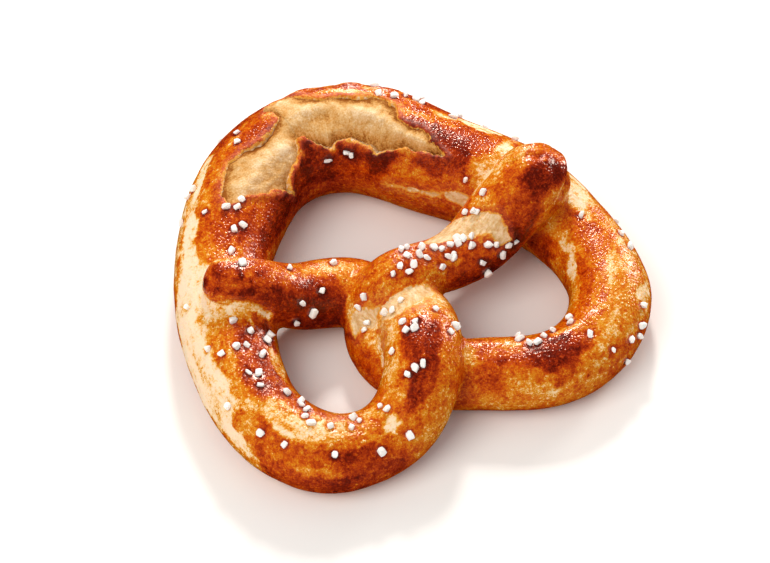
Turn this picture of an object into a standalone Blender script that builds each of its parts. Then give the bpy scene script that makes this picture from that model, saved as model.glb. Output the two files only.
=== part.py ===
"""A soft lye pretzel: one rope of dough, looped, twisted once and baked into a single piece.

The rope is swept along a smooth curve through stations, from its left tip to its right tip. It is
thick at the belly, where the crust has burst open over the crumb, and thin in the crossed arms,
whose tips lie on the belly. The sweep passes through itself where strands fuse. One Boolean
against the baking sheet joins those places and leaves the flat underside.

Frame: +Z up, +Y towards the belly, +X towards the right tip, origin under the pretzel's middle.
"""

import bpy
import numpy as np

MM = 0.001

# Driving dimensions
ROUNDNESS = 0.9  # the rope's height over its width
SINK = 1.5 * MM  # how far the round underside is flattened by the baking sheet
COARSE_STEP = 5.4 * MM  # between rings of the sweep
FINE_STEP = 3.1 * MM  # between rings along the burst
SAMPLE_STEP = 0.5 * MM  # between samples of the rope's middle line
CAP_SHARE = 0.5  # the length of a tip's rounding over the rope's width there
CAP_RINGS = 5

# The burst: a long opening in the crust along the top of the belly. Distances run along the rope
# from its left tip; angles run round it from its inner side (0) over the top (90) to the outside.
BURST_START = 244 * MM
BURST_END = 342 * MM
BURST_MIDDLE = (82.0, 76.0, 62.0)  # degrees, at the start, half way and at the end
BURST_HALF_WIDTH = 29.0  # degrees, at its widest
BURST_NARROWEST = 0.45  # of the half-width, at the burst's two ends
BURST_DEPTH = 2.4 * MM  # of the crumb below the crust, behind the inner lip
CRUMB_BULGE = 1.6 * MM  # how far the crumb swells back between the burst's edges
LIP_HEIGHT = 1.0 * MM  # of the inner lip above the crust
LIP_WIDTH = 0.3  # of the half-width: the crust that the lip lifts
WALL_WIDTH = 0.12  # of the half-width: from the lip down to the crumb
JAG = 0.16  # of the half-width: how far the lip's edge wanders
JAG_LENGTHS = (14 * MM, 8.5 * MM)
FLOOR_ROWS = 6  # rows across the crumb
CRUST_ROWS = 22  # rows round the rest of the rope

# The rope's stations: x and y in mm, the lift of its underside above the sheet in mm, or None
# where it lies on the sheet, and its width in mm.
STATIONS = (
    # left tip, over the belly's left end, down to the twist
    (-61.0, 17.0, 19.5, 15.0),
    (-54.0, 13.0, 19.0, 17.0),
    (-44.5, 10.0, 12.5, 20.0),
    (-33.0, 9.5, 4.0, 22.0),
    (-20.0, 8.5, 0.0, 23.0),
    # under the right arm, then over the other strand
    (-8.5, 0.0, None, 22.0),
    (-6.5, -19.0, 7.0, 24.0),
    (-12.5, -35.5, 9.0, 23.5),
    (-22.5, -45.5, 2.0, 23.0),
    # the left loop
    (-35.0, -48.5, None, 23.0),
    (-48.0, -46.0, None, 24.5),
    (-58.0, -35.0, None, 25.5),
    (-62.0, -14.5, None, 27.0),
    (-59.5, 6.5, None, 29.5),
    # the belly
    (-52.0, 31.0, None, 30.0),
    (-39.0, 51.0, None, 34.0),
    (-23.5, 64.5, None, 35.5),
    (-5.5, 68.5, None, 37.0),
    (13.0, 61.0, None, 38.0),
    (27.0, 45.5, None, 36.0),
    (41.0, 30.0, None, 33.5),
    (52.0, 14.5, None, 30.5),
    # the right loop
    (58.0, -4.5, None, 26.5),
    (56.5, -26.5, None, 26.0),
    (42.0, -42.0, None, 24.5),
    (25.5, -45.0, None, 24.0),
    (8.5, -39.0, None, 23.5),
    # under the left strand, round it and over it
    (-7.5, -31.0, None, 22.0),
    (-16.0, -20.5, None, 21.0),
    (-15.0, -7.0, 2.0, 21.0),
    (-7.5, -2.5, 11.0, 20.0),
    # right arm, up on to the belly's right end
    (9.5, 1.0, 9.0, 18.5),
    (25.0, 4.0, 8.5, 22.0),
    (36.0, 7.5, 13.5, 24.0),
    (47.0, 11.0, 18.5, 25.0),
    (56.5, 18.0, 17.5, 24.0),
)


def clear_scene():
    for thing in list(bpy.data.objects):
        bpy.data.objects.remove(thing)


def natural_spline(knots, values, at):
    """Cubic spline through values at knots, with no bend at its two ends."""
    gaps = np.diff(knots)
    slopes = np.diff(values, axis=0) / gaps[:, None]
    count = len(knots)
    system = np.eye(count)
    bends = np.zeros_like(values)
    for i in range(1, count - 1):
        system[i, i - 1 : i + 2] = (gaps[i - 1], 2 * (gaps[i - 1] + gaps[i]), gaps[i])
        bends[i] = 6 * (slopes[i] - slopes[i - 1])
    bends = np.linalg.solve(system, bends)
    k = np.clip(np.searchsorted(knots, at) - 1, 0, count - 2)
    gap = gaps[k][:, None]
    after = (at - knots[k])[:, None]
    before = gap - after
    bowed = (bends[k] * before**3 + bends[k + 1] * after**3) / (6 * gap)
    start = (values[k] / gap - bends[k] * gap / 6) * before
    end = (values[k + 1] / gap - bends[k + 1] * gap / 6) * after
    return bowed + start + end


def rope_line():
    """The rope's middle line: distance along it, points and widths."""
    rows = np.array(
        [(x, y, -SINK / MM if lift is None else lift, w) for x, y, lift, w in STATIONS]
    )
    rows = rows * MM
    rows[:, 2] += ROUNDNESS * rows[:, 3] / 2
    knots = np.append(0, np.cumsum(np.linalg.norm(np.diff(rows[:, :3], axis=0), axis=1)))
    samples = np.linspace(0, knots[-1], int(knots[-1] / SAMPLE_STEP))
    line = natural_spline(knots, rows, samples)
    along = np.append(0, np.cumsum(np.linalg.norm(np.diff(line[:, :3], axis=0), axis=1)))
    return along, line[:, :3], line[:, 3]


def ring_places(length, start_cap, end_cap):
    """Distances of the rings: close together in the tips' rounding and along the burst."""
    turn = np.linspace(0, np.pi / 2, CAP_RINGS + 1)[1:]
    first = start_cap * (1 - np.cos(turn))
    last = length - end_cap * (1 - np.cos(turn[::-1]))
    stops = (first[-1], BURST_START, BURST_END, last[0])
    steps = (COARSE_STEP, FINE_STEP, COARSE_STEP)
    runs = [
        np.linspace(a, b, max(2, round((b - a) / step)), endpoint=False)[1:]
        for a, b, step in zip(stops, stops[1:], steps)
    ]
    return np.concatenate([first, runs[0], stops[1:2], runs[1], stops[2:3], runs[2], last])


def smooth(x):
    x = np.clip(x, 0, 1)
    return x * x * (3 - 2 * x)


def burst_span(places):
    """At each ring: the angle of the burst's middle, its half-width, and how open it is (0 to 1)."""
    share = np.clip((places - BURST_START) / (BURST_END - BURST_START), 0, 1)
    start, half_way, end = BURST_MIDDLE
    bow = 2 * half_way - (start + end) / 2
    middle = start * (1 - share) ** 2 + 2 * bow * share * (1 - share) + end * share**2
    opened = np.sin(np.pi * share) ** 0.6
    half = BURST_HALF_WIDTH * (BURST_NARROWEST + (1 - BURST_NARROWEST) * opened)
    return middle, half, opened


def rows_round(places):
    """Angles of the rows at each ring, in degrees, and how far each row stands out (+) or in (-).

    Rows follow the burst: two on its inner lip, one at the foot of the lip, some across the
    crumb, one on its outer edge, and the rest evenly round the crust.
    """
    middle, half, opened = (value[:, None] for value in burst_span(places))
    jag = sum(np.sin(2 * np.pi * places / length) for length in JAG_LENGTHS)[:, None]
    inner = -1 + JAG * jag * opened / len(JAG_LENGTHS)
    floor = np.linspace(0, 1, FLOOR_ROWS + 1)
    foot = inner + WALL_WIDTH
    across = foot + (1 - foot) * floor
    lip = np.hstack([inner - LIP_WIDTH, inner])
    crust = np.linspace(0, 1, CRUST_ROWS + 2)[1:-1]
    first = middle + half
    last = middle + half * lip[:, :1] + 360
    angles = np.hstack([middle + half * lip, middle + half * across, first + (last - first) * crust])
    crumb = CRUMB_BULGE * np.sin(np.pi * floor) - BURST_DEPTH * (1 - smooth(floor))
    stand = np.hstack([(0.3 * LIP_HEIGHT, LIP_HEIGHT), crumb, np.zeros(CRUST_ROWS)])
    return angles, stand * opened


def sweep(along, points, widths, places):
    """Rings of the rope's skin: an ellipse carried along the middle line, rounded at the tips."""
    centre = np.stack([np.interp(places, along, points[:, k]) for k in range(3)], axis=1)
    width = np.interp(places, along, widths)
    tangent = np.gradient(points, along, axis=0)
    tangent = np.stack([np.interp(places, along, tangent[:, k]) for k in range(3)], axis=1)
    tangent /= np.linalg.norm(tangent, axis=1)[:, None]
    side = np.cross(tangent, (0, 0, 1))
    side /= np.linalg.norm(side, axis=1)[:, None]
    up = np.cross(side, tangent)
    left_cap = CAP_SHARE * widths[0]
    right_cap = CAP_SHARE * widths[-1]
    to_end = np.minimum(places / left_cap, (along[-1] - places) / right_cap)
    rounding = np.sqrt(np.clip(1 - (1 - np.minimum(to_end, 1)) ** 2, 0, 1))
    angles, stand = rows_round(places)
    turn = np.radians(angles)
    half_width = (width * rounding / 2)[:, None]
    across = np.cos(turn) * (half_width + stand)
    rise = np.sin(turn) * (ROUNDNESS * half_width + stand)
    return centre[:, None] + side[:, None] * across[..., None] + up[:, None] * rise[..., None]


def rope_mesh():
    """The closed skin: quads between rings, and a fan of triangles at each tip, centred on X and Y."""
    along, points, widths = rope_line()
    places = ring_places(along[-1], CAP_SHARE * widths[0], CAP_SHARE * widths[-1])
    rings = sweep(along, points, widths, places)
    count, sides = rings.shape[:2]
    grid = np.arange(count * sides).reshape(count, sides)
    around = np.roll(grid, -1, axis=1)
    quads = np.stack([grid[:-1], around[:-1], around[1:], grid[1:]], axis=2).reshape(-1, 4)
    tips = (count * sides, count * sides + 1)
    first = [(tips[0], b, a) for a, b in zip(grid[0], around[0])]
    last = [(tips[1], a, b) for a, b in zip(grid[-1], around[-1])]
    vertices = np.vstack([rings.reshape(-1, 3), points[0], points[-1]])
    vertices[:, :2] -= (vertices[:, :2].min(axis=0) + vertices[:, :2].max(axis=0)) / 2
    mesh = bpy.data.meshes.new("pretzel")
    mesh.from_pydata(vertices.tolist(), [], quads.tolist() + first + last)
    mesh.validate()
    return mesh


def baked_crust():
    material = bpy.data.materials.new("baked crust")
    material.use_nodes = True
    shader = material.node_tree.nodes["Principled BSDF"]
    shader.inputs["Base Color"].default_value = (0.50, 0.14, 0.02, 1)
    shader.inputs["Roughness"].default_value = 0.4
    shader.inputs["Metallic"].default_value = 0.0
    return material


def baking_sheet(size):
    """The cutter: a slab whose top is the surface the pretzel was baked on."""
    bpy.ops.mesh.primitive_cube_add(size=1, location=(0, 0, -size / 2))
    sheet = bpy.context.object
    sheet.name = "baking_sheet_cutter"
    sheet.scale = (2 * size, 2 * size, size)
    sheet.hide_render = True
    sheet.display_type = "WIRE"
    return sheet


def main():
    clear_scene()
    pretzel = bpy.data.objects.new("pretzel", rope_mesh())
    bpy.context.scene.collection.objects.link(pretzel)
    pretzel.data.materials.append(baked_crust())
    join = pretzel.modifiers.new("fuse strands and flatten", "BOOLEAN")
    join.operation = "DIFFERENCE"
    join.solver = "EXACT"
    join.use_self = True
    join.object = baking_sheet(200 * MM)
    pretzel.data.shade_smooth()


main()
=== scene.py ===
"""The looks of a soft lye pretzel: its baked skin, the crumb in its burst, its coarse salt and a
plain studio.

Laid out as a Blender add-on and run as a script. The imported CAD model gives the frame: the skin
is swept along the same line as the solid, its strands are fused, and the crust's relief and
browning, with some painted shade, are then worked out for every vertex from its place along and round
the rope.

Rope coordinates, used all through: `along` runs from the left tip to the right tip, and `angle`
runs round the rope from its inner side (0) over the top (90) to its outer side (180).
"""

import bpy
import numpy as np
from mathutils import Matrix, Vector


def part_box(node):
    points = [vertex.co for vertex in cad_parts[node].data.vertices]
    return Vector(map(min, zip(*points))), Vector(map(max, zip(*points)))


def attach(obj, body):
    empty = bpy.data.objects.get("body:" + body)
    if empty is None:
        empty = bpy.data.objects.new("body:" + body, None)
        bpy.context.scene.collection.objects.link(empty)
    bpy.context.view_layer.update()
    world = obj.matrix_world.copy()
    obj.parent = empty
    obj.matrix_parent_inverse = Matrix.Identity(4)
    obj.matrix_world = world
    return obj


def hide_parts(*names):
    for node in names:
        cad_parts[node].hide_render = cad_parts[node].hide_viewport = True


bl_info = {
    "name": "Soft Pretzel",
    "version": (1, 0, 0),
    "blender": (4, 5, 0),
    "location": "3D View > Sidebar > Pretzel",
    "description": "Bakes the skin, the crumb, the salt and the studio of a soft lye pretzel",
    "category": "Add Mesh",
}

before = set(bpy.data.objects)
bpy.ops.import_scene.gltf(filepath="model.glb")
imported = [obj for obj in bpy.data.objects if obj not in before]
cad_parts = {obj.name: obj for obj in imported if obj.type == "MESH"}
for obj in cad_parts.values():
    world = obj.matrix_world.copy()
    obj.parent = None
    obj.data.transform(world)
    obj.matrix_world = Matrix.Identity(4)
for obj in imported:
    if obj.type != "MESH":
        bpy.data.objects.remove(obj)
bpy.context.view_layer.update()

MM = 0.001

# The rope, as the solid has it
ROUNDNESS = 0.9  # the rope's height over its width
SINK = 1.5  # mm by which the round underside is flattened
SAMPLE_STEP = 0.5 * MM
CAP_SHARE = 0.5  # the length of a tip's rounding over the rope's width there

# The rope's stations: x and y in mm, the lift of its underside above the sheet in mm, or None
# where it lies on the sheet, and its width in mm.
STATIONS = (
    # left tip, over the belly's left end, down to the twist
    (-61.0, 17.0, 19.5, 15.0),
    (-54.0, 13.0, 19.0, 17.0),
    (-44.5, 10.0, 12.5, 20.0),
    (-33.0, 9.5, 4.0, 22.0),
    (-20.0, 8.5, 0.0, 23.0),
    # under the right arm, then over the other strand
    (-8.5, 0.0, None, 22.0),
    (-6.5, -19.0, 7.0, 24.0),
    (-12.5, -35.5, 9.0, 23.5),
    (-22.5, -45.5, 2.0, 23.0),
    # the left loop
    (-35.0, -48.5, None, 23.0),
    (-48.0, -46.0, None, 24.5),
    (-58.0, -35.0, None, 25.5),
    (-62.0, -14.5, None, 27.0),
    (-59.5, 6.5, None, 29.5),
    # the belly
    (-52.0, 31.0, None, 30.0),
    (-39.0, 51.0, None, 34.0),
    (-23.5, 64.5, None, 35.5),
    (-5.5, 68.5, None, 37.0),
    (13.0, 61.0, None, 38.0),
    (27.0, 45.5, None, 36.0),
    (41.0, 30.0, None, 33.5),
    (52.0, 14.5, None, 30.5),
    # the right loop
    (58.0, -4.5, None, 26.5),
    (56.5, -26.5, None, 26.0),
    (42.0, -42.0, None, 24.5),
    (25.5, -45.0, None, 24.0),
    (8.5, -39.0, None, 23.5),
    # under the left strand, round it and over it
    (-7.5, -31.0, None, 22.0),
    (-16.0, -20.5, None, 21.0),
    (-15.0, -7.0, 2.0, 21.0),
    (-7.5, -2.5, 11.0, 20.0),
    # right arm, up on to the belly's right end
    (9.5, 1.0, 9.0, 18.5),
    (25.0, 4.0, 8.5, 22.0),
    (36.0, 7.5, 13.5, 24.0),
    (47.0, 11.0, 18.5, 25.0),
    (56.5, 18.0, 17.5, 24.0),
)

# The meshes
RING_STEP = 1.2 * MM  # between the swept skin's rings
ROUND_COUNT = 96  # vertices in one of its rings
TURNS = np.arange(ROUND_COUNT) * 2 * np.pi / ROUND_COUNT  # where they stand round the rope
VOXEL = 0.79 * MM  # of the remesh that fuses the strands
OTHER_STRAND = 42 * MM  # two places further apart than this along the rope are two strands
CREASE_REACH = 0.35  # how far from a crease the fillet reaches, in half-widths
CREASE_ROUNDS = 25  # of averaging that make the fillet

# The burst on top of the belly, where the crust opened over the crumb: (along mm, angle degrees)
# corners of the inner lip from left to right, and of the outer edge from right to left round the
# tongue of crust
INNER_LIP = (
    (243.5, 88), (246, 78), (250, 62), (253, 50), (256, 40), (259, 30), (262, 20), (264, 32), (269, 40),
    (275, 44), (279, 52), (281.5, 64), (284.5, 62), (288, 51), (292, 44), (296, 38), (300, 47),
    (305, 46), (310, 48), (315, 44), (319, 40), (322, 46), (326, 55), (332, 59), (341, 62),
)
OUTER_EDGE = (
    (337, 69), (334, 76), (331, 82), (326, 80), (321, 84), (319, 97), (312, 103), (304, 100),
    (296, 100), (292, 108), (290, 124), (284, 128), (281, 116), (281.5, 97), (276, 86), (269, 88),
    (264, 96), (259, 104), (252, 103), (247, 98),
)
LIP_REACH = 1.0 * MM  # how far the lip's swelling reaches back over the crust
CRUMB_START, CRUMB_END = 237 * MM, 347 * MM
CRUMB_LOW, CRUMB_HIGH = 8, 138  # degrees between which the crumb is modelled
CRUMB_STEP = 0.4 * MM
CRUMB_BED = 5 * MM  # how deep the crumb's hidden underside lies
TROUGH_REACH = 3.2 * MM  # how far from the inner lip the crumb lies low
TROUGH_START, TROUGH_GROWTH = 276 * MM, 8 * MM  # where along the burst it gets deep
SLANT_END = 283 * MM  # up to here along the burst its strings slant
DIG = 4 * MM  # how deep the skin dives under the crumb
# Lumps and hollows of the crumb: along mm, angle degrees, half-length mm, half-breadth degrees,
# height mm
CRUMB_LUMPS = (
    (252, 76, 9, 13, 1.1), (263, 68, 10, 12, 1.5), (273, 62, 8, 10, 1.1), (255, 52, 6, 9, 0.5),
    (262, 24, 4, 6, -1.0), (269, 45, 6, 9, 1.0), (271, 87, 9, 6, -1.3), (283, 114, 7, 14, 1.3),
    (289, 88, 8, 12, 2.0), (310, 78, 8, 10, 1.7), (299, 64, 6, 8, -0.9), (319, 74, 10, 10, 1.0),
    (296, 76, 5, 8, -0.6), (311, 94, 8, 7, -0.5), (330, 68, 8, 6, 0.9), (338, 66, 5, 4, 0.7),
)

# Tears: smaller places where the crust has parted over pale crumb, each an outline as above
TEARS = (
    # across the right arm
    (
        (543, 116), (546, 103), (552, 97), (556, 85), (560, 77), (564, 69), (567, 62), (567, 46),
        (566, 34), (568, 24), (571, 26), (572, 40), (574, 56), (575, 70), (573, 84), (571, 98),
        (568, 112), (565, 127), (560, 146), (552, 144), (547, 130),
    ),
    # either side of the twist
    ((79, 20), (84, 22), (88, 40), (89, 62), (87, 90), (85, 112), (82, 124), (78, 124), (77, 60)),
    (
        (511, 142), (514, 118), (512, 104), (515, 92), (520, 78), (524, 60), (526, 62), (523, 88),
        (521, 112), (519, 134), (516, 146),
    ),
    # slits in the belly's inner wall
    ((326, 6), (331, 10), (337, 12), (343, 16), (344, 22), (338, 18), (331, 15), (327, 12)),
    ((342, 24), (347, 29), (352, 26), (352, 12), (348, 14), (344, 19)),
)

# Folds pressed into the crust: the line of each, its depth and its half-width in mm
FOLDS = (
    # round the knob of the right tip, deepest above it
    (((587.5, 112), (590.4, 106), (592.6, 94), (593.4, 84)), 0.9, 0.8),
    (((593.4, 84), (594.8, 80), (595, 66), (593, 49), (590.2, 34)), 0.5, 1.0),
    # the hood beyond the knob stands up, and the end behind it falls away
    (((595.4, 106), (598, 94), (599.4, 80), (598.6, 62), (596, 46), (593, 32)), -0.6, 1.2),
    (((588, -10), (592, 10), (597, 22), (601, 40), (602, 90), (601, 160)), 1.4, 2.5),
    # under the left tip
    (((8, 10), (10, 17), (12.5, 17), (15.5, 8), (18, -4)), 0.9, 0.8),
    # beside the right tip and across the right arm
    (((570, 2), (573, 14), (574.5, 28)), 1.2, 1.1),
    (((563, 146), (566, 122), (569.5, 102), (573, 90)), 0.7, 0.8),
    (((88, 112), (91, 124), (93, 150)), 0.6, 0.8),
    # an edge along the top of the right loop's front
    (((436, 76), (450, 71), (466, 68), (484, 70)), -0.6, 2.6),
)
FOLD_SHADE = 0.22  # painted shade: darkness added in a fold one millimetre deep

# Blistered skin: along mm, angle degrees, half-length mm, half-breadth degrees, mean rise in mm
BLISTERS = (
    (0, 60, 8, 400, 1.4), (7, 60, 10, 60, 0.2), (197, 84, 8, 24, 0), (284, 110, 12, 14, 0),
    (445, 150, 14, 20, 0), (292, 134, 5, 8, 0.5), (304, 130, 4, 10, 0.7), (314, 128, 6, 10, 0.4),
)
BLISTER_HEIGHT = 0.3 * MM
BLISTER_BROWNING = 0.4  # added on top of a full one

# Crust colours from unbrowned (0) to nearly burnt (1), and crumb colours from painted shade in its
# folds to painted light on its tops
CRUST_COLOURS = (
    (0.00, "#F6DAB8"),
    (0.17, "#EEC486"),
    (0.24, "#E5A746"),
    (0.31, "#DB911C"),
    (0.44, "#D47206"),
    (0.57, "#C65003"),
    (0.70, "#AE3802"),
    (0.84, "#8A2002"),
    (1.00, "#5A0E01"),
)
CRUMB_COLOURS = ((0.05, "#94541A"), (0.30, "#C78F4A"), (0.55, "#DBB076"), (0.85, "#F3D7AE"))
RIM_BROWNING = 0.27  # of the thin golden rim round torn crumb

# How dark the crust is, from browning and, in some of the darkest strokes, from painted shade, painted
# in this order over an even browning: along mm, angle degrees, half-length mm, half-breadth degrees,
# browning with any painted shade
EVEN_BROWNING = 0.57
BROWNING_AND_SHADE = (
    # left tip and arm; the darkest strokes, low on the arm's front and in the crease under the tip, are
    # partly dark crust and partly painted shade
    (8, 85, 8, 34, 0.72), (6, 128, 6, 9, 0.36), (10, 42, 7, 22, 0.76), (2, 50, 4, 60, 0.80),
    (10, 35, 5, 7, 0.84), (18, 34, 6, 26, 0.92), (26, 46, 8, 34, 0.93), (31, 12, 14, 44, 0.92),
    (38, 30, 8, 34, 0.96), (30, 68, 12, 14, 0.80), (32, 86, 12, 7, 0.48), (33, 102, 13, 10, 0.42),
    (34, 120, 14, 12, 0.54), (48, 70, 4, 50, 0.54), (46, 20, 4, 26, 0.90), (44, 95, 5, 12, 0.32),
    # left strand, from the twist down into the left loop
    (84, 76, 7, 60, 0.28), (92, 88, 4, 22, 0.44), (100, 36, 13, 24, 0.32), (106, 106, 12, 13, 0.84),
    (100, 84, 6, 18, 0.84), (108, 88, 6, 14, 0.84), (112, 70, 6, 12, 0.46), (113, 32, 5, 24, 0.50),
    (92, 150, 5, 22, 0.42), (102, 146, 9, 22, 0.50), (118, 66, 4, 10, 0.60), (118, 98, 4, 10, 0.72),
    (122, 72, 10, 14, 0.36), (118, 134, 9, 16, 0.50), (119, 168, 9, 28, 0.42), (139, 176, 15, 34, 0.80),
    (144, 132, 14, 12, 0.70), (130, 110, 5, 12, 0.54), (140, 98, 13, 20, 0.36), (134, 74, 9, 12, 0.38),
    (143, 53, 10, 9, 0.52), (154, 170, 7, 26, 0.70), (135, 102, 6, 11, 0.54), (137, 130, 6, 14, 0.82),
    (147, 84, 6, 14, 0.30), (161, 92, 4, 20, 0.40), (106, 60, 6, 8, 0.62), (128, 150, 4, 10, 0.66),
    (148, 150, 8, 5, 0.46),
    # left loop
    (156, 132, 6, 13, 0.60), (164, 134, 4, 12, 0.42), (162, 56, 10, 12, 0.60), (172, 110, 6, 12, 0.36),
    (183, 111, 14, 9, 0.44), (188, 101, 9, 10, 0.46), (178, 76, 14, 20, 0.77), (195, 60, 7, 22, 0.82),
    (179, 39, 12, 9, 0.40), (171, 60, 6, 10, 0.76), (194, 34, 6, 14, 0.90), (164, 90, 3, 16, 0.40),
    (165, 54, 5, 9, 0.66), (186, 54, 6, 9, 0.78), (200, 88, 4, 12, 0.44), (164, 176, 6, 20, 0.44),
    (176, 196, 14, 12, 0.34), (200, 192, 14, 10, 0.32),
    # left end of the belly
    (240, 160, 22, 14, 0.32), (234, 108, 12, 13, 0.66), (226, 102, 5, 10, 0.56),
    (236, 82, 11, 13, 0.74), (248, 114, 6, 12, 0.60), (238, 62, 10, 8, 0.84), (241, 48, 11, 9, 0.70),
    (245, 28, 18, 14, 0.90), (254, 20, 8, 14, 0.94), (258, 124, 16, 13, 0.50), (266, 112, 8, 10, 0.60),
    (273, 98, 8, 13, 0.70), (270, 130, 8, 8, 0.34), (279, 94, 2.5, 7, 0.80), (262, 138, 16, 9, 0.22),
    (228, 38, 6, 10, 0.76),
    # inner wall of the belly, dark crust whose darkest strokes are partly painted shade, as the wall
    # faces away from the lamps
    (282, 10, 26, 34, 0.90), (286, -8, 24, 14, 0.74), (278, 30, 6, 14, 0.99), (292, 26, 10, 14, 0.96),
    (300, 36, 18, 12, 0.90), (310, 14, 14, 22, 0.76), (321, 32, 5, 14, 0.98), (284, 52, 3, 10, 0.98),
    (336, 50, 13, 10, 0.76), (336, 34, 10, 7, 0.56), (330, -8, 24, 12, 0.66), (312, 38, 5, 5, 0.95),
    (297, 41, 3, 6, 0.34), (327, 50, 4, 6, 0.46),
    # top and back of the belly
    (297, 121, 12, 10, 0.68), (318, 118, 20, 12, 0.62), (313, 108, 3, 5, 0.56), (326, 100, 6, 6, 0.48),
    (304, 110, 8, 4, 0.26), (309, 124, 4, 5, 0.24), (332, 120, 6, 6, 0.28), (329, 87, 8, 9, 0.84),
    (341, 74, 10, 22, 0.90), (347, 102, 6, 10, 0.76), (352, 60, 3, 24, 0.50),
    (356.2, 84, 2.4, 60, 0.30), (350, 40, 4, 10, 0.54), (300, 138, 50, 16, 0.70),
    (296, 127, 8, 5, 0.50), (322, 124, 5, 5, 0.52),
    # right loop
    (383, 118, 6, 24, 0.30), (395, 108, 14, 9, 0.50), (399, 90, 11, 8, 0.62), (387, 76, 5, 18, 0.66),
    (404, 70, 20, 11, 0.58), (390, 42, 7, 14, 0.44), (388, 8, 10, 18, 0.80), (402, 12, 10, 14, 0.56),
    (416, 50, 12, 12, 0.72), (414, 24, 14, 12, 0.48), (431, 40, 8, 12, 0.60), (420, 106, 18, 24, 0.42),
    (414, 90, 6, 6, 0.32), (402, 134, 9, 16, 0.38), (437, 112, 6, 16, 0.34), (440, 92, 12, 7, 0.50),
    (452, 70, 20, 8, 0.44), (460, 54, 16, 9, 0.50), (446, 160, 7, 26, 0.52), (453, 106, 11, 18, 0.94),
    (470, 108, 10, 18, 0.66), (452, 88, 10, 10, 0.88), (470, 88, 8, 7, 0.56), (480, 104, 5, 24, 0.40),
    (464, 162, 14, 36, 0.44), (480, 160, 6, 40, 0.68), (474, 138, 5, 16, 0.56), (436, 178, 6, 20, 0.60),
    (424, 66, 8, 7, 0.48), (419, 138, 15, 18, 0.42), (424, 122, 4, 8, 0.44),
    # right strand round the twist
    (508, 172, 10, 26, 0.70), (517, 158, 5, 12, 0.88), (506, 122, 7, 16, 0.32), (500, 126, 4, 10, 0.24),
    (517, 112, 5, 40, 0.24), (527, 94, 4, 60, 0.54),
    # right arm and tip; the dark strokes low on the arm's front and in the crevice beside the tip are
    # partly dark crust and partly painted shade
    (535, 84, 5, 40, 0.58), (549, 64, 11, 24, 0.66), (552, 30, 13, 22, 0.74), (558, 2, 14, 20, 0.92),
    (541, 40, 4, 30, 0.44), (576, 14, 7, 22, 0.97), (579, 38, 7, 20, 0.80), (590.8, 57, 5.4, 27, 0.99),
    (548, 46, 5, 10, 0.40), (568, 122, 4, 24, 0.58), (577, 118, 6, 22, 0.40), (587, 132, 8, 22, 0.38),
    (584, 94, 6, 10, 0.60), (585, -2, 7, 14, 0.60), (597, 74, 2.5, 44, 0.66), (600, 80, 4, 60, 0.58),
    (591, 4, 4, 16, 0.20), (599, 20, 3, 20, 0.26), (580, 143, 5, 11, 0.16),
)
STROKE_EDGE = 0.7  # the share of a stroke's radius over which it fades

# Places where the crust stayed pale, with crisp edges: browning, and the outline of each
PALE_PATCHES = (
    # outer side of the left loop, up to the belly's left end
    (0.05, (
        (160, 168), (163, 156), (168, 146), (169, 134), (170, 120), (178, 121), (187, 122),
        (194, 122), (198, 110), (200, 96), (206, 90), (218, 92), (222, 110), (227, 120), (236, 124),
        (244, 127), (252, 130), (262, 136), (262, 146), (250, 146), (236, 142), (224, 146), (218, 156),
        (212, 170), (200, 180), (184, 184), (172, 178),
    )),
    # inner side of the left loop
    (0.08, ((120, 96), (121, 112), (125, 118), (127, 110), (126, 98), (122, 94))),
    (0.24, (
        (134, 94), (139, 104), (144, 98), (149, 112), (153, 119), (159, 115), (161, 104), (166, 110),
        (168, 96), (164, 84), (160, 92), (156, 76), (148, 74), (142, 82), (137, 84),
    )),
    (0.22, ((172, 40), (177, 47), (184, 44), (188, 38), (182, 35), (176, 36))),
    # a lens under the left tip
    (0.12, ((6, 4), (9, 15), (12, 16), (15, 11), (18, 1), (18, -12), (14, -26), (8, -20))),
    (0.12, ((196, 60), (197, 72), (198, 84), (201, 96), (205, 92), (205, 76), (203, 62))),
    # top and back of the belly
    (0.18, ((336, 126), (342, 116), (350, 118), (353, 132), (346, 140), (338, 134))),
    (0.14, ((355.4, 58), (355.8, 84), (355, 112), (357.2, 116), (358.4, 90), (358, 58))),
    # right loop
    (0.14, (
        (375, 140), (377, 122), (379, 104), (381, 92), (386, 90), (393, 97), (389, 104), (386, 112),
        (385, 126), (383, 142),
    )),
    (0.13, (
        (390, 38), (393, 50), (397, 57), (401, 50), (404, 40), (409, 37), (413, 24), (408, 18),
        (403, 26), (400, 37), (396, 40),
    )),
    (0.24, (
        (408, 150), (411, 141), (414, 146), (417, 134), (420, 127), (423, 131), (421, 140), (426, 143),
        (430, 140), (431, 148), (424, 153), (418, 160), (413, 156),
    )),
    (0.24, ((452, 158), (455, 172), (458, 166), (457, 150), (461, 142), (456, 146))),
)

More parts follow.
